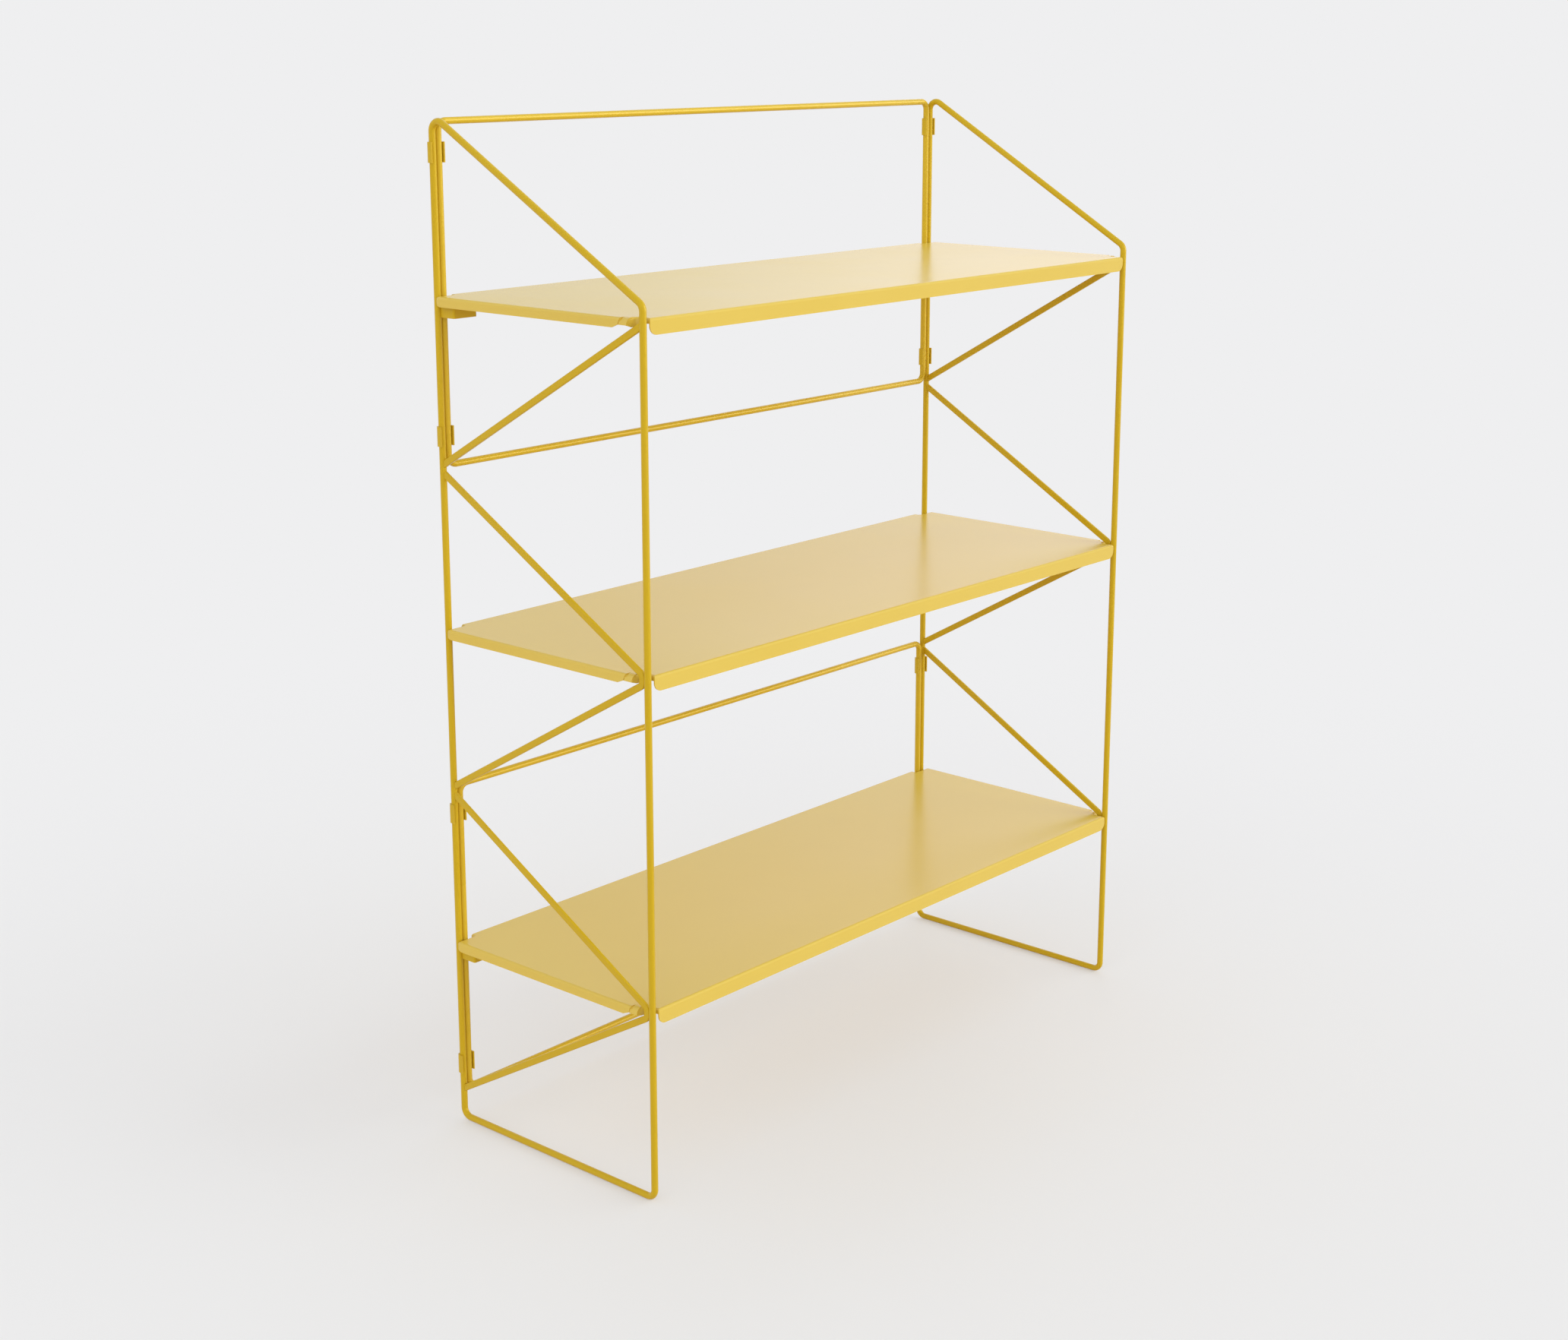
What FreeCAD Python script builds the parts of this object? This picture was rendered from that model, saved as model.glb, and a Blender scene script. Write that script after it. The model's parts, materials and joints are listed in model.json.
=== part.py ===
"""Free-standing steel shelving unit: two rod side frames, two rod back frames and three folded shelves.

Millimetres. X runs along the shelves, -Y is the front, +Z is up. The origin lies on the floor,
under the middle of the unit. One STEP file is written for each piece.
"""
import FreeCAD, Part
import math
import os

Vector = FreeCAD.Vector

# Rod frames
rod_diameter = 8.0
post_spacing_x = 900.0          # between the axes of the left and right posts
post_spacing_y = 325.4          # between the axes of a front and a back post
rod_bend_radius = 11.0          # at the axis of the rod
slope_corner_rise = 13.6        # front corner of the sloping rail above the top shelf

# Shelf levels
bottom_shelf_height = 234.0     # upper face above the floor
shelf_pitch = 387.0

# Flat bar braces
brace_width = 8.0               # in the plane of the side frame
brace_thickness = 4.0
brace_bend_radius = 6.5         # at the middle of the bar
node_drop = 5.4                 # middle of a brace's bend at the front post, below the shelf's face
node_rise = 6.0                 # middle line of an arm starts this far above or below it
brace_end_gap = 8.5             # between the middle lines of two arms at the axis of the back post
weld_gap = 0.05                 # between a welded end and the rod

# Back frames and the clips that hold them to the back posts
back_frame_gap = 0.4            # between a back post and the upright of a back frame
back_rail_rise = 3.9            # axis of a lower rail above the level where two brace ends meet
clip_sheet = 1.5
clip_height = 23.0
clip_offset = 34.0              # middle of a clip from the axis of the nearest rail
clip_reach = 4.6                # legs in front of the axes of the rods
clip_clearance = 0.25

# Folded shelves
shelf_sheet = 1.5
fold_radius = 3.0               # outer radius of every fold
front_lip = 18.2
side_lip = 11.5                 # side lips and back lip
side_overhang = 4.5             # side lips outside the posts
notch_lip = 10.5
front_notch_clearance = 2.5     # inner wall of a front notch from the post
low_wall_length = 6.0           # front end of that wall is cut low, behind the front lip
low_wall_drop = 6.0             # lower edge of that end below the shelf's upper face
node_recess = 16.5              # back wall of a front notch behind the axis of the post
back_notch_clearance = 2.0      # front wall of a back notch from the post
back_notch_room = 7.0           # inner wall of a back notch from the back frame's upright
back_edge_offset = 2.0          # back lip behind the axes of the back posts
plan_corner_margin = 0.5        # rounded corners of the plan are this much larger than the fold
front_notch_radius = 6.0
back_notch_radius = 3.0
tongue_radius = 8.0             # tongues behind the front notches, as deep as their rounding
tongue_length = 9.0             # upper edge of a tongue behind the notch
groove_width = 1.0              # between a tongue and the side lip
groove_depth = 0.8              # below the upper face and the side lip
groove_lean = 3.0               # lower end of the groove behind its upper end
front_lip_round = 10.0          # lower corners of the front lip
side_lip_round = 8.0            # lower back corners of the side lips
side_lip_run = 8.5              # length of the rising lower edge at the front end of a side lip

# Brackets under the back corners of the top and the bottom shelf
bracket_sheet = 1.5
bracket_drop = 24.5             # lower edge below the shelf's upper face
bracket_inset = 0.6             # outer wall inside the axis of the back post
bracket_length = 26.5           # front wall in front of the axis of the back post
bracket_width = 33.0
bracket_corner_radius = 2.5     # upright corner, outside
bracket_lip_gap = 0.5           # to the notch lip of the shelf and its fold

# Pegs that carry the shelves on the braces and on the back posts
peg_diameter = 3.0
front_peg_drop = 7.6            # axis below the shelf's upper face
front_peg_setback = 6.5         # axis behind the axis of the front post
peg_stand_out = 2.0             # free end past the notch wall
peg_clearance = 0.2             # hole in the notch wall, all round

# Worked out from the sizes above
cut_margin = 1.0                # how far a cutting tool stands past what it cuts
same_point = 1e-6               # points closer than this are one point
rod_radius = rod_diameter / 2
clip_radius = rod_radius + clip_clearance
unit_depth = post_spacing_y + rod_diameter + clip_clearance + clip_sheet
front_y = -unit_depth / 2 + rod_radius
back_y = front_y + post_spacing_y
post_x = post_spacing_x / 2
frame_x = post_x - rod_diameter - back_frame_gap
shelf_levels = {
    "bottom": bottom_shelf_height,
    "middle": bottom_shelf_height + shelf_pitch,
    "top": bottom_shelf_height + 2 * shelf_pitch,
}
node_y = front_y + rod_radius + weld_gap + brace_width / 2
arm_rise = (shelf_pitch - brace_end_gap) / 2 - node_rise
slope = arm_rise / (back_y - node_y)    # of the braces, and of the top rail parallel to them
slope_radians = math.atan(slope)
slope_front_z = shelf_levels["top"] + slope_corner_rise
slope_back_z = slope_front_z + post_spacing_y * slope
half_peak = (math.pi / 2 - slope_radians) / 2
crest_z = slope_back_z - rod_bend_radius * (1 / math.tan(half_peak) - 1)
lower_rail_z = bottom_shelf_height - node_drop - shelf_pitch / 2 + back_rail_rise
upper_rail_z = lower_rail_z + 2 * shelf_pitch
back_frame_height = crest_z - upper_rail_z

# Plan of a shelf, by its right half
shelf_side_x = post_x + rod_radius + side_overhang
shelf_front_y = front_y - rod_radius
shelf_back_y = back_y + back_edge_offset
front_notch_x = post_x - rod_radius - front_notch_clearance
front_notch_y = front_y + node_recess
back_notch_x = frame_x - rod_radius - back_notch_room
back_notch_y = back_y - rod_radius - back_notch_clearance
tongue_x = shelf_side_x - tongue_radius
tongue_back_y = front_notch_y + tongue_length
groove_slant = groove_lean / tongue_radius


def side_plane(x):
    """Maps values (y, z) to a point in the plane of one side frame."""
    return lambda point: Vector(x, point.x, point.y)


def back_plane(y):
    """Maps values (x, z) to a point in an upright plane across the unit."""
    return lambda point: Vector(point.x, y, point.y)


def floor_plane(z):
    """Maps plan values (x, y) to a point at one height."""
    return lambda point: Vector(point.x, point.y, z)


def corner_arc(before, corner, after):
    """Start, middle, end and centre of the arc that rounds one corner (u, v, radius)."""
    point = Vector(corner[0], corner[1], 0)
    radius = corner[2]
    if radius == 0:
        return point, None, point, None
    back = (Vector(before[0], before[1], 0) - point).normalize()
    ahead = (Vector(after[0], after[1], 0) - point).normalize()
    half = back.getAngle(ahead) / 2
    reach = radius / math.tan(half)
    inward = (back + ahead).normalize()
    centre = point + inward * (radius / math.sin(half))
    return point + back * reach, centre - inward * radius, point + ahead * reach, centre


def corner_arcs(corners):
    """The arcs of all corners of a closed outline, in order."""
    count = len(corners)
    return [corner_arc(corners[i - 1], corners[i], corners[(i + 1) % count]) for i in range(count)]


def rounded_face(corners, place):
    """Flat face inside a closed outline of corners (u, v, radius)."""
    arcs = corner_arcs(corners)
    edges = []
    for i, (start, middle, end, centre) in enumerate(arcs):
        if middle is not None:
            edges.append(Part.Arc(place(start), place(middle), place(end)).toShape())
        following = arcs[(i + 1) % len(arcs)][0]
        if end.distanceToPoint(following) > same_point:
            edges.append(Part.LineSegment(place(end), place(following)).toShape())
    return Part.Face(Part.Wire(edges))


def rod_loop(corners, place):
    """Closed loop of round rod along an outline of corners (u, v, bend radius)."""
    arcs = corner_arcs(corners)
    pieces = []
    for i, (start, middle, end, centre) in enumerate(arcs):
        following = arcs[(i + 1) % len(arcs)][0]
        run = place(following) - place(end)
        pieces.append(Part.makeCylinder(rod_radius, run.Length, place(end), run))
        incoming = place(start) - place(arcs[i - 1][2])
        spoke = place(start) - place(centre)
        turn = math.degrees(spoke.getAngle(place(end) - place(centre)))
        section = Part.Face(Part.Wire(Part.makeCircle(rod_radius, place(start), incoming)))
        pieces.append(section.revolve(place(centre), spoke.cross(incoming), turn))
    return single_solid(pieces[0].multiFuse(pieces[1:]).removeSplitter())


def box(low, high):
    """Box between two opposite corners."""
    size = high - low
    return Part.makeBox(size.x, size.y, size.z, low)


def single_solid(shape):
    """The one solid of a shape that a cut or a fuse returned."""
    assert len(shape.Solids) == 1, len(shape.Solids)
    return shape.Solids[0]


def mirrored(shape):
    """The same shape on the other side of the unit's middle plane."""
    return shape.mirror(Vector(0, 0, 0), Vector(1, 0, 0))


def post_room(y):
    """Room that a welded piece leaves for the right-hand post at y."""
    foot = Vector(post_x, y, 0)
    return Part.makeCylinder(rod_radius + weld_gap, slope_back_z, foot, Vector(0, 0, 1))


def side_frame():
    """Right side frame: back post, sloping rail, front post and floor rail in one bent rod."""
    corners = [
        (back_y, slope_back_z, rod_bend_radius),
        (front_y, slope_front_z, rod_bend_radius),
        (front_y, rod_radius, rod_bend_radius),
        (back_y, rod_radius, rod_bend_radius),
    ]
    return rod_loop(corners, side_plane(post_x))


def brace_point(node_z, rises, offset, y):
    """Point (y, z) on a line along a brace arm, offset outwards from the bar's middle line."""
    height = node_rise + offset / math.cos(slope_radians) + slope * (y - node_y)
    return y, node_z + rises * height


def straight_brace(node_z):
    """Corners of the top brace: one arm that falls from the front post to the back post."""
    half = brace_width / 2
    upper = [brace_point(node_z, -1, -half, y) + (0,) for y in (front_y, back_y)]
    lower = [brace_point(node_z, -1, half, y) + (0,) for y in (back_y, front_y)]
    return upper + lower


def bent_brace(node_z):
    """Corners of a bent brace: from the back post down to the node and on to the back post below."""
    half = brace_width / 2
    outer_radius = brace_bend_radius + half
    inner_radius = brace_bend_radius - half
    inner_y = node_y + half
    outer_y = node_y - half
    return [
        brace_point(node_z, 1, -half, back_y) + (0,),
        brace_point(node_z, 1, -half, inner_y) + (inner_radius,),
        brace_point(node_z, -1, -half, inner_y) + (inner_radius,),
        brace_point(node_z, -1, -half, back_y) + (0,),
        brace_point(node_z, -1, half, back_y) + (0,),
        brace_point(node_z, -1, half, outer_y) + (outer_radius,),
        brace_point(node_z, 1, half, outer_y) + (outer_radius,),
        brace_point(node_z, 1, half, back_y) + (0,),
    ]


def brace(level_name):
    """Right-hand brace at one shelf level, its ends shaped to the posts."""
    node_z = shelf_levels[level_name] - node_drop
    corners = straight_brace(node_z) if level_name == "top" else bent_brace(node_z)
    face = rounded_face(corners, side_plane(post_x - brace_thickness / 2))
    bar = face.extrude(Vector(brace_thickness, 0, 0))
    return single_solid(bar.cut(post_room(front_y)).cut(post_room(back_y)))


def back_frame(bottom_z):
    """Rectangular back frame between the back posts, with its lower rail at one height."""
    top_z = bottom_z + back_frame_height
    corners = [
        (-frame_x, bottom_z, rod_bend_radius),
        (frame_x, bottom_z, rod_bend_radius),
        (frame_x, top_z, rod_bend_radius),
        (-frame_x, top_z, rod_bend_radius),
    ]
    return rod_loop(corners, back_plane(back_y))


def clip_outline(radius, legs_y):
    """Corners of a loop round both rods, open end towards the front."""
    return [
        (frame_x - radius, legs_y, 0),
        (post_x + radius, legs_y, 0),
        (post_x + radius, back_y + radius, radius),
        (frame_x - radius, back_y + radius, radius),
    ]


def clip(middle_z):
    """Right-hand clip: a bent strip round the backs of the post and of the frame's upright."""
    legs_y = back_y - clip_reach
    place = floor_plane(middle_z - clip_height / 2)
    outer = rounded_face(clip_outline(clip_radius + clip_sheet, legs_y), place)
    inner = rounded_face(clip_outline(clip_radius, legs_y - cut_margin), place)
    height = Vector(0, 0, clip_height)
    return single_solid(outer.extrude(height).cut(inner.extrude(height)))


def shelf_plan(inset):
    """Corners of a shelf's outline in plan, drawn in by the inset on every edge."""
    rounded = fold_radius + plan_corner_margin - inset
    right = [
        (front_notch_x - inset, shelf_front_y + inset, 0),
        (front_notch_x - inset, front_notch_y + inset, front_notch_radius + inset),
        (shelf_side_x - inset, front_notch_y + inset, 0),
        (shelf_side_x - inset, back_notch_y - inset, rounded),
        (back_notch_x - inset, back_notch_y - inset, back_notch_radius + inset),
        (back_notch_x - inset, shelf_back_y - inset, rounded),
    ]
    left = [(-x, y, radius) for x, y, radius in reversed(right)]
    return right + left


def folded_block(inset, top_z, bottom_z, radius):
    """Block under the shelf's plan with its upper edges rounded like the folds."""
    face = rounded_face(shelf_plan(inset), floor_plane(bottom_z))
    block = face.extrude(Vector(0, 0, top_z - bottom_z))
    top_edges = [edge for edge in block.Edges if edge.BoundBox.ZMin > top_z - cut_margin]
    return block.makeFillet(radius, top_edges)


def rounded_end(place, along, radius, u, v):
    """Tool that rounds the lower corner (u, v) of a lip that ends there."""
    corners = [
        (u + cut_margin, v - cut_margin, 0),
        (u + cut_margin, v + radius, 0),
        (u, v + radius, 0),
        (u, v, radius),
        (u - radius, v, 0),
        (u - radius, v - cut_margin, 0),
    ]
    return rounded_face(corners, place).extrude(along)


def notch_trim(low, high, top_z):
    """Tool that leaves the walls inside a plan rectangle as high as the notch lips."""
    bottom_z = top_z - front_lip - cut_margin
    return box(Vector(low[0], low[1], bottom_z), Vector(high[0], high[1], top_z - notch_lip))


def lip_cuts(top_z):
    """Tools that part, trim and round the lips on a shelf's right half."""
    front_bottom = top_z - front_lip
    side_bottom = top_z - side_lip
    lip_back_y = shelf_front_y + shelf_sheet
    lip_inner_x = shelf_side_x - shelf_sheet
    wall_room = shelf_sheet + front_notch_radius
    low_wall = box(
        Vector(front_notch_x - wall_room, lip_back_y, front_bottom - cut_margin),
        Vector(front_notch_x + cut_margin, lip_back_y + low_wall_length, top_z - low_wall_drop),
    )
    front_round = rounded_end(
        back_plane(shelf_front_y - cut_margin), Vector(0, shelf_sheet + cut_margin, 0),
        front_lip_round, front_notch_x, front_bottom,
    )
    lip_end_y = tongue_back_y + groove_width
    lip_corner_y = lip_end_y + groove_lean
    tongue_room = [
        (front_notch_y - cut_margin, top_z + cut_margin, 0),
        (lip_end_y - groove_slant * cut_margin, top_z + cut_margin, 0),
        (lip_corner_y, top_z - tongue_radius, 0),
        (lip_corner_y + side_lip_run, side_bottom, 0),
        (lip_corner_y + side_lip_run, side_bottom - cut_margin, 0),
        (front_notch_y - cut_margin, side_bottom - cut_margin, 0),
    ]
    past_side = Vector(tongue_radius + cut_margin, 0, 0)
    side_lip_end = rounded_face(tongue_room, side_plane(tongue_x)).extrude(past_side)
    side_lip_end = side_lip_end.cut(tongue_end(top_z))
    through_lip = Vector(shelf_sheet + cut_margin, 0, 0)
    side_round = rounded_end(
        side_plane(lip_inner_x), through_lip, side_lip_round, back_notch_y, side_bottom,
    )
    front_trim = notch_trim(
        (front_notch_x - wall_room, lip_back_y),
        (lip_inner_x, front_notch_y + wall_room), top_z,
    )
    back_trim = notch_trim(
        (back_notch_x - shelf_sheet, back_notch_y - shelf_sheet - back_notch_radius),
        (lip_inner_x, shelf_back_y - shelf_sheet), top_z,
    )
    return [low_wall, front_round, side_lip_end, side_round, front_trim, back_trim]


def lean_strip(section, side):
    """What lies inside both a section (x, z) along the unit's depth and a side view (y, z)."""
    depth = Vector(0, shelf_back_y - shelf_front_y, 0)
    width = Vector(shelf_side_x + cut_margin, 0, 0)
    along_depth = rounded_face(section, back_plane(shelf_front_y)).extrude(depth)
    return along_depth.common(rounded_face(side, side_plane(0)).extrude(width))


def tongue(top_z):
    """Right-hand tongue that rounds down between the arms of a brace, pressed in from the side lip."""
    root_x = tongue_x - shelf_sheet
    low_z = top_z - tongue_radius
    inner_x = shelf_side_x - shelf_sheet
    section = [
        (root_x, top_z, 0),
        (shelf_side_x, top_z, tongue_radius),
        (shelf_side_x, low_z, 0),
        (inner_x, low_z, 0),
        (inner_x, top_z - shelf_sheet, tongue_radius - shelf_sheet),
        (root_x, top_z - shelf_sheet, 0),
    ]
    step_section = [
        (root_x, top_z - groove_depth, 0),
        (shelf_side_x - groove_depth, top_z - groove_depth, fold_radius),
        (shelf_side_x - groove_depth, low_z, 0),
        (root_x, low_z, 0),
    ]
    lip_y = tongue_back_y + groove_width
    tongue_side = [
        (front_notch_y, top_z, 0),
        (tongue_back_y, top_z, 0),
        (tongue_back_y + groove_lean, low_z, 0),
        (front_notch_y, low_z, 0),
    ]
    step_side = [
        (tongue_back_y, top_z, 0),
        (lip_y, top_z, 0),
        (lip_y + groove_lean, low_z, 0),
        (tongue_back_y + groove_lean, low_z, 0),
    ]
    strip = lean_strip(section, tongue_side)
    return single_solid(strip.fuse(lean_strip(step_section, step_side)))


def tongue_end(top_z):
    """Part of a front notch's back wall that closes the front end of the tongue."""
    low_z = top_z - tongue_radius
    corners = [
        (tongue_x - cut_margin, top_z, 0),
        (shelf_side_x, top_z, tongue_radius),
        (shelf_side_x, low_z, 0),
        (tongue_x, top_z - notch_lip, 0),
        (tongue_x - cut_margin, top_z - notch_lip, 0),
    ]
    start_y = front_notch_y - 2 * cut_margin
    thickness = Vector(0, shelf_sheet + 2 * cut_margin, 0)
    return rounded_face(corners, back_plane(start_y)).extrude(thickness)


def peg_hole(top_z):
    """Hole in the inner wall of a front notch for its peg."""
    start = Vector(front_notch_x - 2 * shelf_sheet, front_y + front_peg_setback, top_z - front_peg_drop)
    return Part.makeCylinder(peg_diameter / 2 + peg_clearance, 3 * shelf_sheet, start, Vector(1, 0, 0))


def shelf(top_z):
    """Folded shelf with a deep front lip, shallow lips elsewhere and notches round the posts."""
    bottom_z = top_z - front_lip
    solid = folded_block(0, top_z, bottom_z, fold_radius)
    hollow = folded_block(shelf_sheet, top_z - shelf_sheet, bottom_z - cut_margin, fold_radius - shelf_sheet)
    behind_front_lip = box(
        Vector(-shelf_side_x - cut_margin, shelf_front_y + shelf_sheet, bottom_z - cut_margin),
        Vector(shelf_side_x + cut_margin, shelf_back_y + cut_margin, top_z - side_lip),
    )
    solid = solid.cut(hollow).cut(behind_front_lip)
    for tool in lip_cuts(top_z) + [peg_hole(top_z)]:
        solid = solid.cut(tool).cut(mirrored(tool))
    right_tongue = tongue(top_z)
    return single_solid(solid.multiFuse([right_tongue, mirrored(right_tongue)]).removeSplitter())


def bracket_block(inset, top_z, bottom_z):
    """Block of the bracket's plan, its front and outer walls drawn in by the inset."""
    outer_x = post_x - bracket_inset - inset
    corners = [
        (outer_x - bracket_width + inset, back_y - bracket_length + inset, 0),
        (outer_x, back_y - bracket_length + inset, bracket_corner_radius - inset),
        (outer_x, back_y, 0),
        (outer_x - bracket_width + inset, back_y, 0),
    ]
    return rounded_face(corners, floor_plane(bottom_z)).extrude(Vector(0, 0, top_z - bottom_z))


def bracket(level):
    """Right-hand bracket: a sheet corner under the shelf whose outer wall meets the back post."""
    top_z = level - shelf_sheet
    bottom_z = level - bracket_drop
    corner = bracket_block(0, top_z, bottom_z)
    corner = corner.cut(bracket_block(bracket_sheet, top_z - bracket_sheet, bottom_z - cut_margin))
    inner_x = post_x - bracket_inset - bracket_width - cut_margin
    lip_room = box(
        Vector(inner_x, back_notch_y - fold_radius - bracket_lip_gap, level - notch_lip - bracket_lip_gap),
        Vector(post_x, back_y + cut_margin, level),
    )
    return single_solid(corner.cut(lip_room).cut(post_room(back_y)))


def front_peg(level):
    """Right-hand peg on the inner face of a brace, through the inner wall of the front notch."""
    brace_face_x = post_x - brace_thickness / 2
    start = Vector(brace_face_x, front_y + front_peg_setback, level - front_peg_drop)
    length = brace_face_x - front_notch_x + shelf_sheet + peg_stand_out
    return Part.makeCylinder(peg_diameter / 2, length, start, Vector(-1, 0, 0))


def back_peg(level):
    """Right-hand peg on the back post, under the notch lip of the middle shelf."""
    start = Vector(post_x, back_y, level - notch_lip - peg_diameter / 2)
    length = back_y - back_notch_y + shelf_sheet + peg_stand_out
    peg = Part.makeCylinder(peg_diameter / 2, length, start, Vector(0, -1, 0))
    return single_solid(peg.cut(post_room(back_y)))


def right_hand_pieces():
    """Pieces of the right side that the left side has as mirror images."""
    clip_levels = {
        "upper_top": upper_rail_z + back_frame_height - clip_offset,
        "upper_bottom": upper_rail_z + clip_offset,
        "lower_top": lower_rail_z + back_frame_height - clip_offset,
        "lower_bottom": lower_rail_z + clip_offset,
    }
    pieces = {
        "side_frame": side_frame(),
        "front_pegs": Part.makeCompound([front_peg(level) for level in shelf_levels.values()]),
        "back_peg": back_peg(shelf_levels["middle"]),
    }
    for name in shelf_levels:
        pieces["brace_" + name] = brace(name)
    for name, middle_z in clip_levels.items():
        pieces["clip_" + name] = clip(middle_z)
    for name in ("top", "bottom"):
        pieces["shelf_bracket_" + name] = bracket(shelf_levels[name])
    return pieces


def all_pieces():
    """Every piece of the unit by its node name."""
    pieces = {
        "back_frame_upper": back_frame(upper_rail_z),
        "back_frame_lower": back_frame(lower_rail_z),
    }
    for name, level in shelf_levels.items():
        pieces["shelf_" + name] = shelf(level)
    for name, piece in right_hand_pieces().items():
        pieces[name + "_right"] = piece
        pieces[name + "_left"] = mirrored(piece)
    return pieces


def main():
    os.makedirs("parts", exist_ok=True)
    for name, piece in sorted(all_pieces().items()):
        piece.exportStep("parts/%s.step" % name)
        facts = (name, len(piece.Solids), piece.isValid(), piece.Volume)
        print("%-28s solids %d  valid %s  volume %.1f" % facts)


main()
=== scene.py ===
# %% [markdown]
# A yellow steel shelving unit, dressed for a studio picture.
# The real unit is bent steel rod, flat bar and folded sheet, welded or clipped together and powder coated.
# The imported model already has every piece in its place, in metres.
# This lesson keeps the shelves and the small fittings as they come, draws the rods and the braces again
# with smoother bends and edges, because those are what the eye follows, and gives each surface its finish.

# %% Load the frame and keep its box
import json
import math

import bpy
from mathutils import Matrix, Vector

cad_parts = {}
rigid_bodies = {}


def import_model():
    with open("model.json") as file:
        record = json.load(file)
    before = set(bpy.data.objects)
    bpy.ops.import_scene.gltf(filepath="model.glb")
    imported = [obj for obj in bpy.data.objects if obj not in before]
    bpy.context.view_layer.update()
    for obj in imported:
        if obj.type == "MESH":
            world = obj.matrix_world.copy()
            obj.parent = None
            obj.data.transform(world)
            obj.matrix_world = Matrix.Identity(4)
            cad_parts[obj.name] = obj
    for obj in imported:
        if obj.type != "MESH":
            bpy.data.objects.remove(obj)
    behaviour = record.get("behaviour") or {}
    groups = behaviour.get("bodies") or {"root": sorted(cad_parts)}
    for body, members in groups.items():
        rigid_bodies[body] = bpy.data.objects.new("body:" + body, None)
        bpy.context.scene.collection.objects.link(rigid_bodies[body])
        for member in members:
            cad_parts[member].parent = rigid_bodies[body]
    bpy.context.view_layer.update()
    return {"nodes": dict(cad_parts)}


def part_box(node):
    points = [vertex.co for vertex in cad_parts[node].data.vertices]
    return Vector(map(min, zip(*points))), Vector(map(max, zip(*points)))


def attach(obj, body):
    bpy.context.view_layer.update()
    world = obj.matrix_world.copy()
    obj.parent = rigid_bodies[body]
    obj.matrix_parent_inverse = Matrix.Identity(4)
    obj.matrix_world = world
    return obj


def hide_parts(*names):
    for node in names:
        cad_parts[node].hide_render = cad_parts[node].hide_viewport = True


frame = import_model()

# %% [markdown]
# The pieces share a few sizes: the rod, the places of the posts and the levels of the shelves.
# They could be measured off the meshes, but a maker works from a drawing, so they are written down here
# in millimetres and turned to metres once. The posts' places come from the frame itself.

# %% Sizes of the unit
MM = 0.001
ROD_RADIUS = 4 * MM
ROD_BEND = 11 * MM                     # radius of a rod's bends, at its axis
SHELF_LEVELS = {"bottom": 234 * MM, "middle": 621 * MM, "top": 1008 * MM}
SLOPE = 0.577438                       # rise of the braces and of the top rail, per length

low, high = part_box("side_frame_right")
POST_X = (low.x + high.x) / 2
FRONT_Y = low.y + ROD_RADIUS
BACK_Y = high.y - ROD_RADIUS
TOP_RAIL_LIFT = 13.6 * MM              # the top rail's axis above the top shelf, at the front post
# Where the axis of the sloping top rail meets the front and the back post
SLOPE_FRONT_Z = SHELF_LEVELS["top"] + TOP_RAIL_LIFT
SLOPE_BACK_Z = SLOPE_FRONT_Z + (BACK_Y - FRONT_Y) * SLOPE
print("posts at x", round(POST_X, 4), "y", round(FRONT_Y, 5), round(BACK_Y, 5))

# %% [markdown]
# Colours are written as sRGB hex values, the way a colour picker shows them, and shaders want linear light.
# Materials are trees of nodes, so one small helper adds a node, fills in its settings and links its inputs.


# %% Helpers for colours and nodes
def linear(hex_colour):
    """Linear RGBA of an sRGB hex colour."""
    channels = [int(hex_colour[i:i + 2], 16) / 255 for i in (1, 3, 5)]
    return [c / 12.92 if c <= 0.04045 else ((c + 0.055) / 1.055) ** 2.4 for c in channels] + [1.0]


def add_node(tree, kind, settings, links):
    """Adds a node; settings go to its inputs or its properties, links join its inputs to other outputs."""
    node = tree.nodes.new(kind)
    for name, value in settings.items():
        if isinstance(name, int) or name in node.inputs:
            node.inputs[name].default_value = value
        else:
            setattr(node, name, value)
    for name, output in links.items():
        tree.links.new(output, node.inputs[name])
    return node


def new_tree(owner):
    """Empty node tree of a material, a world or a lamp."""
    owner.use_nodes = True
    owner.node_tree.nodes.clear()
    return owner.node_tree


def per_metre(size_mm):
    """Texture scale at which one feature of the pattern is about this wide."""
    return 1000 / size_mm


print("yellow in linear light", [round(c, 3) for c in linear("#DDB92F")[:3]])

# %% [markdown]
# The finish is a satin polyester powder coat: dry powder, charged and blown onto clean steel, then melted
# and cured in an oven. The melt pulls itself smooth but keeps a faint orange peel, and draws back a little
# from edges, where the film is thin. The paler colour given to sharp edges is partly that and partly a
# painted highlight. It is a dielectric with the usual IOR of 1.5 and a blurred gloss. A single colour would
# look like a drawing, so the film's thickness, gloss and peel each get a slow variation.

# %% Recipe of a powder coat
GLOSS_DRIFT = 0.03                     # how far the roughness strays from its mean
PEEL_STRENGTH = 0.008                  # faint, as on a coat that flowed out well
PALE_EDGE_HIGHLIGHT = "#EBCB62"                  # colour of the thin film on sharp edges, partly a painted highlight


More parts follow.
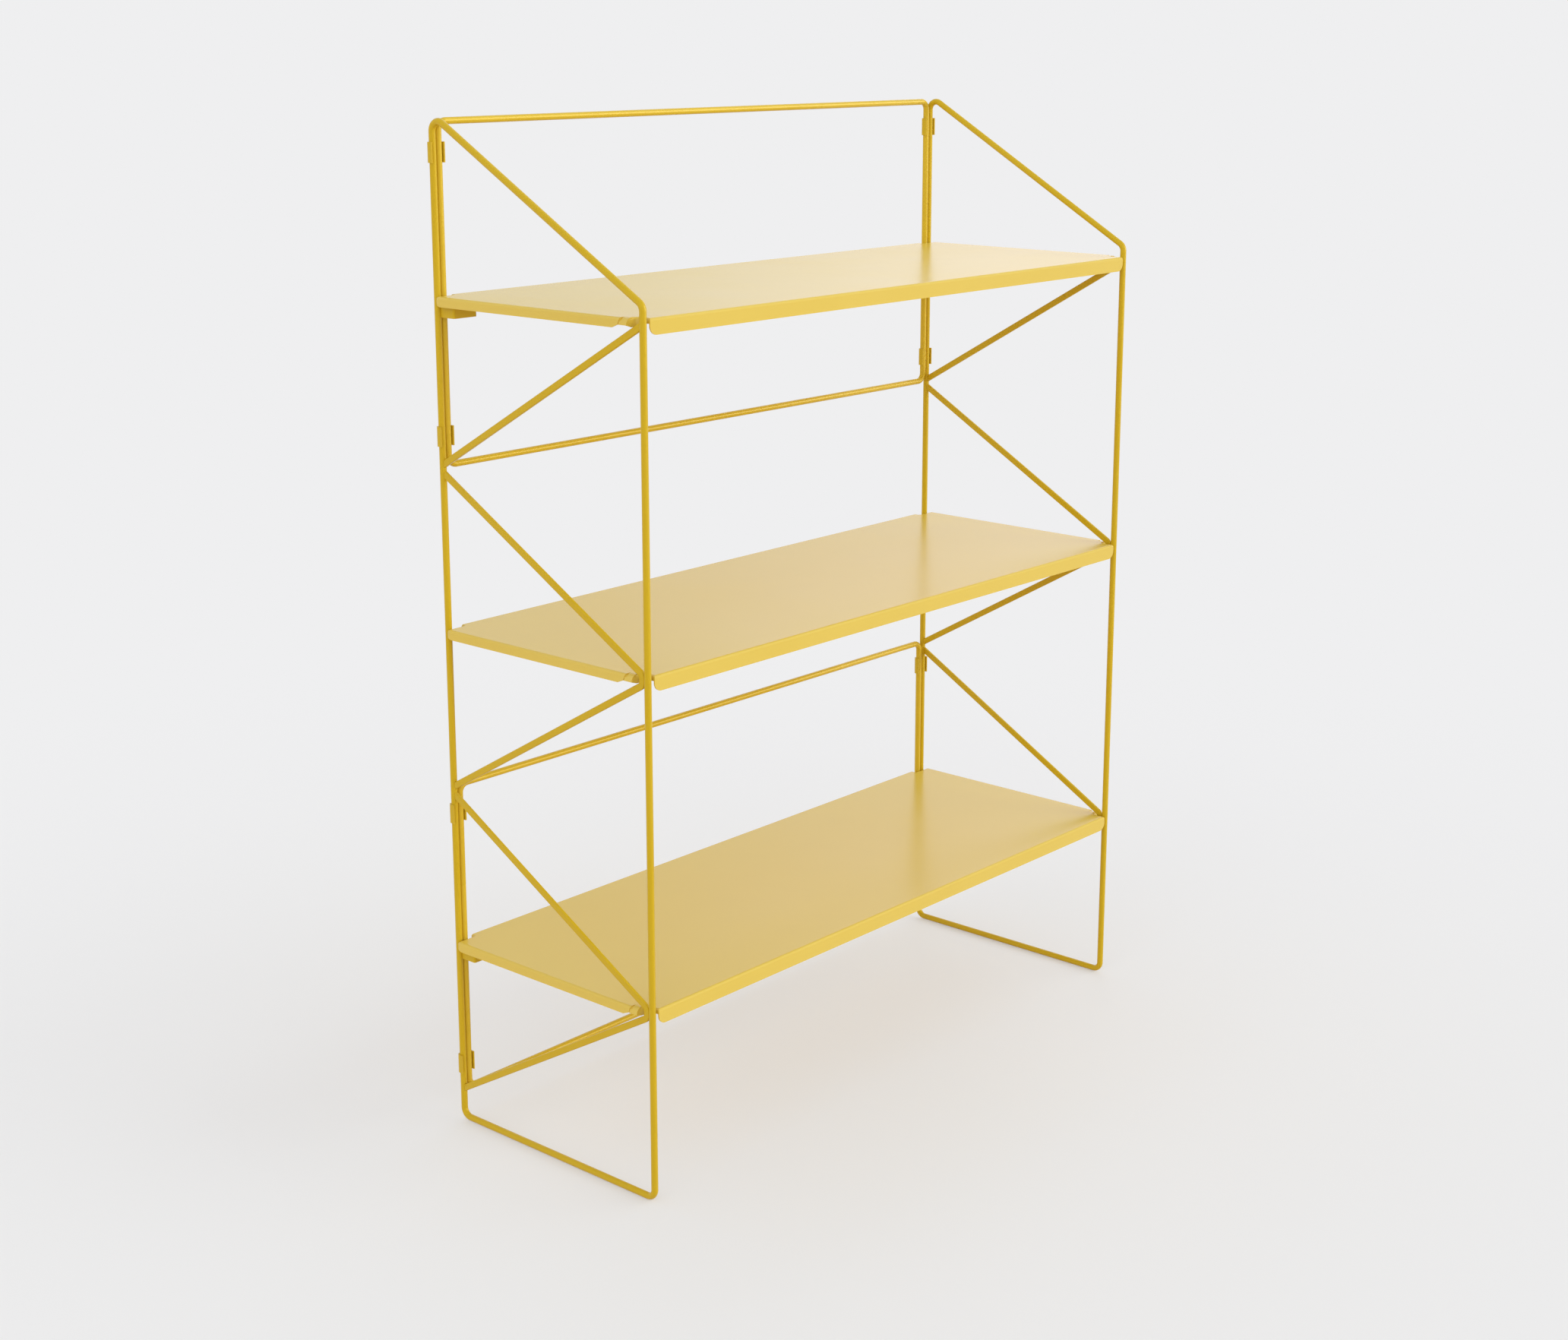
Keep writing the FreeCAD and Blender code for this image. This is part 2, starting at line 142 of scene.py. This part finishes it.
def powder_coat(name, thin, thick, gloss_tint, roughness, peel_mm, drift_mm, edge_mm=0):
    """Satin polyester powder coat on steel, between the colours of its thin and its thick film."""
    material = bpy.data.materials.new(name)
    tree = new_tree(material)
    place = add_node(tree, "ShaderNodeTexCoord", {}, {}).outputs["Object"]
    # Film thickness drifts slowly over the piece
    drift = add_node(tree, "ShaderNodeTexNoise", {"Scale": per_metre(drift_mm), "Detail": 2.0},
                     {"Vector": place})
    film = add_node(tree, "ShaderNodeMix", {"data_type": "RGBA", 6: linear(thin), 7: linear(thick)},
                    {0: drift.outputs["Fac"]})
    # The cured gloss drifts with it, a little more matt where the film is thin
    gloss = add_node(tree, "ShaderNodeMapRange",
                     {"From Min": 0.2, "From Max": 0.8,
                      "To Min": roughness + GLOSS_DRIFT, "To Max": roughness - GLOSS_DRIFT},
                     {"Value": drift.outputs["Fac"]})
    # Real orange peel is 1 to 2 mm wide and too fine for the picture, so it is drawn coarser here
    peel = add_node(tree, "ShaderNodeTexNoise", {"Scale": per_metre(peel_mm), "Detail": 1.0},
                    {"Vector": place})
    bump = add_node(tree, "ShaderNodeBump", {"Strength": PEEL_STRENGTH, "Distance": 1.0 * MM},
                    {"Height": peel.outputs["Fac"]})
    # Face on, the gloss has the given tint of the pigment under it, and a glancing gloss is white
    coat = add_node(tree, "ShaderNodeBsdfPrincipled", {"IOR": 1.5, "Specular Tint": linear(gloss_tint)},
                    {"Base Color": film.outputs[2], "Roughness": gloss.outputs["Result"],
                     "Normal": bump.outputs["Normal"]})
    add_node(tree, "ShaderNodeOutputMaterial", {}, {"Surface": coat.outputs["BSDF"]})
    if edge_mm:
        # Close to a sharp edge the melt draws back and the thinner film turns paler; the paler edge is also
        # a painted highlight
        rounded = add_node(tree, "ShaderNodeBevel", {"samples": 8, "Radius": edge_mm * MM}, {})
        facing = add_node(tree, "ShaderNodeNewGeometry", {}, {})
        likeness = add_node(tree, "ShaderNodeVectorMath", {"operation": "DOT_PRODUCT"},
                            {0: rounded.outputs["Normal"], 1: facing.outputs["Normal"]})
        edge = add_node(tree, "ShaderNodeMapRange", {"From Min": 0.98, "From Max": 0.75, "To Max": 0.5},
                        {"Value": likeness.outputs["Value"]})
        paler = add_node(tree, "ShaderNodeMix", {"data_type": "RGBA", 7: linear(PALE_EDGE_HIGHLIGHT)},
                         {0: edge.outputs["Result"], 6: film.outputs[2]})
        tree.links.new(paler.outputs[2], coat.inputs["Base Color"])
    return material


print("a peel 6 mm wide has the texture scale", round(per_metre(6), 1))

# %% [markdown]
# Rod, bar, sheet and small fittings hang apart in the oven and take the coat a bit differently. One material
# for all would be simpler, but each kind gets its own here, from the same recipe, so that colour and gloss
# follow the piece. The flat shelves are the glossiest, and the pressed fittings the most matt.

# %% Coats of the pieces
# Colours of the thin film, of the thick film and of the gloss
ROD_COLOURS = ("#D2B22A", "#CCAA1C", "#F0DC90")
SHEET_COLOURS = ("#E1C556", "#DDBF4A", "#FFFFFF")
# The back frames get a shade paler copy of the rod coat, painted light for the brighter light on their rails
BACK_COLOURS_PAINTED_LIT = ("#DABA3A", "#D4B22C", "#F0DC90")
ROD_COAT = powder_coat("satin_powder_coat_on_drawn_rod", *ROD_COLOURS,
                       roughness=0.30, peel_mm=6, drift_mm=90)
BACK_COAT_PAINTED_LIT = powder_coat("satin_powder_coat_on_back_frames_painted_lit", *BACK_COLOURS_PAINTED_LIT,
                        roughness=0.28, peel_mm=6, drift_mm=90)
BAR_COAT = powder_coat("satin_powder_coat_on_flat_bar", *ROD_COLOURS,
                       roughness=0.30, peel_mm=6, drift_mm=90)
# The sheets and fittings get the paler colour on sharp edges, partly thin film and partly a painted
# highlight
SHEET_COAT = powder_coat("satin_powder_coat_on_folded_sheet", *SHEET_COLOURS,
                         roughness=0.24, peel_mm=12, drift_mm=160, edge_mm=1.0)
FITTING_COAT = powder_coat("satin_powder_coat_on_pressed_fittings", *ROD_COLOURS,
                           roughness=0.32, peel_mm=5, drift_mm=30, edge_mm=0.7)
for coat in (ROD_COAT, BACK_COAT_PAINTED_LIT, BAR_COAT, SHEET_COAT, FITTING_COAT):
    print("coat", coat.name)

# %% [markdown]
# The shelves are folded sheet, and the clips, brackets and pegs are small pressed or cut pieces. Their
# meshes are right as they come, with every fold and corner, so drawing them again would gain nothing.
# They only get their coat. The rods and braces get one too, until their new forms take their place.

# %% Coat the CAD pieces
for name, node in frame["nodes"].items():
    if name.startswith("shelf_") and "bracket" not in name:
        coat = SHEET_COAT
    elif name.startswith(("clip_", "shelf_bracket", "front_pegs", "back_peg")):
        coat = FITTING_COAT
    elif name.startswith("brace_"):
        coat = BAR_COAT
    # The back frames take the paler copy of the coat, painted light for their brighter rails
    elif name.startswith("back_frame"):
        coat = BACK_COAT_PAINTED_LIT
    else:
        coat = ROD_COAT
    node.data.materials.clear()
    node.data.materials.append(coat)
print("coated", len(frame["nodes"]))

# %% [markdown]
# Each side frame is one steel rod, bent at four corners and welded to a closed loop, and so is each of the
# two back frames. A sweep of rings in mesh code would do, but a Bezier curve with a round bevel is the rod
# itself: two points for each bend, with handles of the length that makes it round, and straight runs
# between them.


# %% Bent rods
def bend_points(before, corner, after, radius):
    """Start and end of the arc that rounds a corner, with the handles that make it round."""
    back = (before - corner).normalized()
    ahead = (after - corner).normalized()
    half = back.angle(ahead) / 2
    reach = radius / math.tan(half)
    handle = 4 / 3 * math.tan((math.pi - 2 * half) / 4) * radius
    start, end = corner + back * reach, corner + ahead * reach
    return (start, start - back * handle), (end - ahead * handle, end)


def bent_rod(name, corners, node, coat):
    """Closed loop of rod through the corners, as a bevelled Bezier curve in the node's place."""
    curve = bpy.data.curves.new(name, "CURVE")
    curve.dimensions = "3D"
    curve.bevel_depth = ROD_RADIUS
    curve.bevel_resolution = 10
    curve.resolution_u = 14
    spline = curve.splines.new("BEZIER")
    spline.bezier_points.add(2 * len(corners) - 1)
    spline.use_cyclic_u = True
    for i, corner in enumerate(corners):
        first, second = spline.bezier_points[2 * i], spline.bezier_points[2 * i + 1]
        (first.co, first.handle_right), (second.handle_left, second.co) = bend_points(
            corners[i - 1], corner, corners[(i + 1) % len(corners)], ROD_BEND)
    count = len(spline.bezier_points)
    for i in range(1, count, 2):
        end, start = spline.bezier_points[i], spline.bezier_points[(i + 1) % count]
        end.handle_right = end.co.lerp(start.co, 1 / 3)
        start.handle_left = end.co.lerp(start.co, 2 / 3)
    rod = bpy.data.objects.new(name, curve)
    bpy.context.scene.collection.objects.link(rod)
    curve.materials.append(coat)
    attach(rod, "root")
    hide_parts(node)


for side, x in (("left", -POST_X), ("right", POST_X)):
    loop = [Vector((x, BACK_Y, SLOPE_BACK_Z)), Vector((x, FRONT_Y, SLOPE_FRONT_Z)),
            Vector((x, FRONT_Y, ROD_RADIUS)), Vector((x, BACK_Y, ROD_RADIUS))]
    bent_rod("side_rod_" + side, loop, "side_frame_" + side, ROD_COAT)
for level in ("upper", "lower"):
    low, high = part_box("back_frame_" + level)
    x, z0, z1 = high.x - ROD_RADIUS, low.z + ROD_RADIUS, high.z - ROD_RADIUS
    loop = [Vector((-x, BACK_Y, z0)), Vector((x, BACK_Y, z0)),
            Vector((x, BACK_Y, z1)), Vector((-x, BACK_Y, z1))]
    # The back rods take the paler copy of the coat, painted light for their brighter rails
    bent_rod("back_rod_" + level, loop, "back_frame_" + level, BACK_COAT_PAINTED_LIT)
print("rods drawn again: 4 loops")

# %% [markdown]
# The braces are flat bar, welded between the posts. The lower two of each side are bent on edge to a V that
# lies on its side, and the top one is a single straight arm. Rolled bar has rounded edges, which catch the
# light as a soft line. A bevel on the CAD mesh would also round its welded ends, so the bar is swept here:
# one rounded section is carried along the middle line, and its first and last rings stand upright, a little
# inside the posts, where the weld hides them.

# %% Flat bar braces
BAR_HALF_WIDTH = 4 * MM
BAR_HALF_THICKNESS = 2 * MM
BAR_EDGE = 1.2 * MM                    # rounding of the rolled edges
BAR_BEND = 6.5 * MM                    # radius of a bend at the middle line
NODE_Y = FRONT_Y + ROD_RADIUS + BAR_HALF_WIDTH
NODE_DROP = 5.4 * MM                   # middle of a bend below the shelf's face
NODE_RISE = 6 * MM                     # where the arms leave it, up and down
WELD_DEPTH = 1.2 * MM                  # how far an end runs into the rod
EDGE_STEPS = 5                         # flats that round one edge
BEND_STEPS = 8                         # and one bend


def bar_section():
    """Points (across, sideways) of a flat bar's section with rounded edges."""
    points = []
    for quarter, (u, v) in enumerate(((1, 1), (-1, 1), (-1, -1), (1, -1))):
        for step in range(EDGE_STEPS + 1):
            angle = math.radians(90 * (quarter + step / EDGE_STEPS))
            points.append((u * (BAR_HALF_WIDTH - BAR_EDGE) + BAR_EDGE * math.cos(angle),
                           v * (BAR_HALF_THICKNESS - BAR_EDGE) + BAR_EDGE * math.sin(angle)))
    return points


def arm(node_z, rises, y):
    """Point (y, z) on the middle line of an arm that rises or falls towards the back."""
    return Vector((y, node_z + rises * (NODE_RISE + SLOPE * (y - NODE_Y))))


def bent_line(node_z):
    """Middle line of a bent brace as stations: a point and the direction across the bar, away from the V."""
    upright = Vector((0, math.hypot(1, SLOPE)))
    end_y = BACK_Y - ROD_RADIUS + WELD_DEPTH
    # Each bend turns the bar from the slope of an arm to upright
    turn = math.pi / 2 - math.atan(SLOPE)
    centre_rise = NODE_RISE - BAR_BEND * math.tan(turn / 2)
    stations = [(arm(node_z, 1, end_y), upright)]
    for rises in (1, -1):
        centre = Vector((NODE_Y + BAR_BEND, node_z + rises * centre_rise))
        angles = [turn * step / BEND_STEPS for step in range(BEND_STEPS + 1)]
        for angle in reversed(angles) if rises > 0 else angles:
            across = Vector((-math.cos(angle), rises * math.sin(angle)))
            stations.append((centre + across * BAR_BEND, across))
    stations.append((arm(node_z, -1, end_y), -upright))
    return stations


def straight_line(node_z):
    """Middle line of the top brace, which only falls from the front post to the back post."""
    upright = Vector((0, -math.hypot(1, SLOPE)))
    ends = (FRONT_Y + ROD_RADIUS - WELD_DEPTH, BACK_Y - ROD_RADIUS + WELD_DEPTH)
    return [(arm(node_z, -1, y), upright) for y in ends]


def flat_bar(name, x, stations, node):
    """Bar with the rounded section along the stations, in the node's place."""
    section = bar_section()
    count = len(section)
    points, faces = [], []
    for ring, (middle, across) in enumerate(stations):
        for u, v in section:
            spot = middle + across * u
            points.append((x + v, spot.x, spot.y))
        if ring:
            for i in range(count):
                j = (i + 1) % count
                near, far = (ring - 1) * count, ring * count
                faces.append((near + i, far + i, far + j, near + j))
    faces.append(tuple(range(count)))
    faces.append(tuple(reversed(range(len(points) - count, len(points)))))
    mesh = bpy.data.meshes.new(name)
    mesh.from_pydata(points, [], faces)
    mesh.polygons.foreach_set("use_smooth", [True] * len(faces))
    mesh.materials.append(BAR_COAT)
    bar = bpy.data.objects.new(name, mesh)
    bpy.context.scene.collection.objects.link(bar)
    # Large flats keep their own direction and only the rounded edges blend
    bar.modifiers.new("even_shading", "WEIGHTED_NORMAL").keep_sharp = True
    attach(bar, "root")
    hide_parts(node)


for side, x in (("left", -POST_X), ("right", POST_X)):
    for level, face_z in SHELF_LEVELS.items():
        line = straight_line if level == "top" else bent_line
        flat_bar("bar_%s_%s" % (level, side), x, line(face_z - NODE_DROP), "brace_%s_%s" % (level, side))
print("braces drawn again: 6 bars")

# %% [markdown]
# The unit stands on a pale painted studio floor that runs on without an edge. A curved backdrop would do
# that too, but it can be seen from behind. So the floor is one wide disc that turns, far out, into the tone
# of the surround, and only the soft shadows under the unit tell where it stands.

# %% Studio floor
scene = bpy.context.scene
scene.view_settings.view_transform = "Standard"
PALE = linear("#EFEFF0")               # the one tone of floor and surround
FLOOR_RADIUS = 40                      # in metres, past what any view needs
FLOOR_GAP = 0.5 * MM                   # the floor lies this far below the rods that stand on it
FADE_START, FADE_END = 0.5, 2.4        # metres from the middle, where the floor turns into the surround


def eye_and_gloss(tree):
    """Output that is 1 for what the eye, gloss or glass sees, and 0 for light that lands on matt faces."""
    path = add_node(tree, "ShaderNodeLightPath", {}, {}).outputs
    seen = add_node(tree, "ShaderNodeMath", {"operation": "ADD"},
                    {0: path["Is Camera Ray"], 1: path["Is Glossy Ray"]})
    seen = add_node(tree, "ShaderNodeMath", {"operation": "ADD", "use_clamp": True},
                    {0: seen.outputs["Value"], 1: path["Is Transmission Ray"]})
    return seen.outputs["Value"]


bpy.ops.mesh.primitive_circle_add(vertices=96, radius=FLOOR_RADIUS, fill_type="NGON",
                                  location=(0, 0, -FLOOR_GAP))
floor = bpy.context.object
floor.name = "studio_floor"
floor_paint = bpy.data.materials.new("matt_studio_paint")
tree = new_tree(floor_paint)
paint = add_node(tree, "ShaderNodeBsdfPrincipled", {"Base Color": linear("#F4F4F5"), "Roughness": 0.55,
                                                   "Specular IOR Level": 0.25}, {})
# Far out the floor turns into the surround's own tone, so no horizon shows
surround = add_node(tree, "ShaderNodeEmission", {"Color": PALE, "Strength": 1.0}, {})
place = add_node(tree, "ShaderNodeTexCoord", {}, {})
away = add_node(tree, "ShaderNodeVectorMath", {"operation": "LENGTH"}, {0: place.outputs["Object"]})
fade = add_node(tree, "ShaderNodeMapRange",
                {"interpolation_type": "SMOOTHSTEP", "From Min": FADE_START, "From Max": FADE_END,
                 "To Min": 0.4},
                {"Value": away.outputs["Value"]})
pale_floor = add_node(tree, "ShaderNodeMixShader", {},
                      {0: fade.outputs["Result"], 1: paint.outputs["BSDF"], 2: surround.outputs["Emission"]})
# The eye and the gloss see the pale floor, and what it throws back from below is warm
warm_floor = add_node(tree, "ShaderNodeBsdfDiffuse", {"Color": linear("#E4D3C0")}, {})
both = add_node(tree, "ShaderNodeMixShader", {},
                {0: eye_and_gloss(tree), 1: warm_floor.outputs["BSDF"], 2: pale_floor.outputs["Shader"]})
add_node(tree, "ShaderNodeOutputMaterial", {}, {"Surface": both.outputs["Shader"]})
floor.data.materials.append(floor_paint)
print("floor", floor.name)

# %% [markdown]
# Around the unit is an even pale room. The eye and the gloss see one plain tone, like a lit paper roll.
# The light that falls on matt surfaces comes more from the walls than from the ceiling, as in a real studio
# with dark rigging above, and that keeps the sides of the rods bright and the shelves from washing out.

# %% Studio surround
world = bpy.data.worlds.new("studio_surround")
scene.world = world
tree = new_tree(world)
# The walls of the room are brighter than its ceiling
look = add_node(tree, "ShaderNodeTexCoord", {}, {})
height = add_node(tree, "ShaderNodeSeparateXYZ", {}, {0: look.outputs["Generated"]})
wall = add_node(tree, "ShaderNodeMapRange", {"To Min": 0.95, "To Max": 0.6},
                {"Value": height.outputs["Z"]})
ambient = add_node(tree, "ShaderNodeBackground", {"Color": (1, 1, 1, 1)},
                   {"Strength": wall.outputs["Result"]})
pale = add_node(tree, "ShaderNodeBackground", {"Color": PALE, "Strength": 1.0}, {})
mix = add_node(tree, "ShaderNodeMixShader", {},
               {0: eye_and_gloss(tree), 1: ambient.outputs["Background"], 2: pale.outputs["Background"]})
add_node(tree, "ShaderNodeOutputWorld", {}, {"Surface": mix.outputs["Shader"]})
print("surround", world.name)

# %% [markdown]
# Two wide soft lights shape the unit: a key from the front right, which makes the front lips the brightest
# faces and models the round rods, and a fill from the left. They could be large lamps near the unit, but
# suns with a wide disc light the top and the foot of such a tall thing alike. A third sun in the key's place
# adds what they leave out on purpose: the key's mirror image on the rods, a fine line of light.


# %% Key, fill and glint
def soft_sun(name, towards, strength, width, colour):
    """Even light from one side; the wider its disc in degrees, the softer its shadows."""
    data = bpy.data.lights.new(name, "SUN")
    data.energy = strength
    data.color = linear(colour)[:3]
    data.angle = math.radians(width)
    lamp = bpy.data.objects.new(name, data)
    lamp.rotation_euler = Vector(towards).to_track_quat("-Z", "Y").to_euler()
    scene.collection.objects.link(lamp)
    return lamp


KEY_TOWARDS = (-0.6, 0.72, -0.2)
KEY_WIDTH = 48                         # degrees
KEY_COLOUR = "#FAFFFA"
FILL_TOWARDS = (0.9, 0.3, -0.15)
key = soft_sun("key_from_front_right", KEY_TOWARDS, strength=1.62, width=KEY_WIDTH, colour=KEY_COLOUR)
fill = soft_sun("fill_from_left", FILL_TOWARDS, strength=0.9, width=80, colour="#FFFFFF")
# Seen from behind, the shelves would mirror these suns as a burned-out patch, so the gloss leaves them out
key.visible_glossy = False
fill.visible_glossy = False

# On a rod or a bar the mirror image is too thin to burn out, so the glint is linked to them alone
rods_and_bars = bpy.data.collections.new("rods_and_bars")
for piece in scene.objects:
    if piece.name.startswith(("side_rod_", "back_rod_", "bar_")):
        rods_and_bars.objects.link(piece)
glint = soft_sun("glint_on_rods", KEY_TOWARDS, strength=2.2, width=KEY_WIDTH, colour=KEY_COLOUR)
glint.visible_diffuse = False
glint.light_linking.receiver_collection = rods_and_bars

# %% [markdown]
# A softbox hangs behind on the right, where the shelves mirror it as a pale sheen that fades towards the
# left. A plain area lamp would do for the light, but its mirror image would have a hard edge. So this one is
# feathered: its glow falls off smoothly from the middle to the rim.

# %% Softbox
SOFTBOX_WIDTH, SOFTBOX_HEIGHT = 4.7, 2.5
SOFTBOX_PLACE = Vector((4.15, 2.2, 2.3))
SOFTBOX_AIM = Vector((0, 0, 0.4))
SOFTBOX_POWER = 40                     # watts

feathered = bpy.data.lights.new("softbox_behind", "AREA")
feathered.shape = "RECTANGLE"
feathered.size, feathered.size_y = SOFTBOX_WIDTH, SOFTBOX_HEIGHT
feathered.energy = SOFTBOX_POWER
tree = new_tree(feathered)
spot = add_node(tree, "ShaderNodeNewGeometry", {}, {})
from_middle = add_node(tree, "ShaderNodeVectorMath", {"operation": "DISTANCE", 1: (0.5, 0.5, 0.0)},
                       {0: spot.outputs["Parametric"]})
feather = add_node(tree, "ShaderNodeMapRange",
                   {"interpolation_type": "SMOOTHSTEP", "From Min": 0.5, "From Max": 0.0},
                   {"Value": from_middle.outputs["Value"]})
glow = add_node(tree, "ShaderNodeEmission", {"Color": linear("#FFF2FF")},
                {"Strength": feather.outputs["Result"]})
add_node(tree, "ShaderNodeOutputLight", {}, {"Surface": glow.outputs["Emission"]})
softbox = bpy.data.objects.new("softbox_behind", feathered)
softbox.location = SOFTBOX_PLACE
softbox.rotation_euler = (SOFTBOX_AIM - SOFTBOX_PLACE).to_track_quat("-Z", "Y").to_euler()
softbox.visible_camera = False
scene.collection.objects.link(softbox)
print("softbox", round((SOFTBOX_AIM - SOFTBOX_PLACE).length, 2), "m away")

# %% [markdown]
# The photograph was taken with a level camera and a shifted lens, which keeps the posts upright.
# Such a shift would push the unit out of the other views, so the camera here looks down a little and
# keeps only a small shift. Its place and lens are those that bring the posts closest to the photograph.

# %% Camera
CAMERA_PLACE = (-2.2186, -1.9133, 1.3085)
CAMERA_TURN = 48.696                   # degrees, from straight ahead towards +X
CAMERA_DIP = 13.431                    # degrees below level
FOCAL_LENGTH, SENSOR_WIDTH = 54.75, 36   # in millimetres
LENS_SHIFT = -0.05                     # downwards, as a share of the picture's width

camera_data = bpy.data.cameras.new("camera")
camera_data.sensor_width = SENSOR_WIDTH
camera_data.lens = FOCAL_LENGTH
camera_data.shift_y = LENS_SHIFT
camera = bpy.data.objects.new("camera", camera_data)
scene.collection.objects.link(camera)
turn, dip = math.radians(CAMERA_TURN), math.radians(CAMERA_DIP)
camera.location = CAMERA_PLACE
aim = Vector((math.sin(turn) * math.cos(dip), math.cos(turn) * math.cos(dip), -math.sin(dip)))
camera.rotation_euler = aim.to_track_quat("-Z", "Y").to_euler()
scene.camera = camera
print("lens", round(camera_data.lens, 2), "mm")
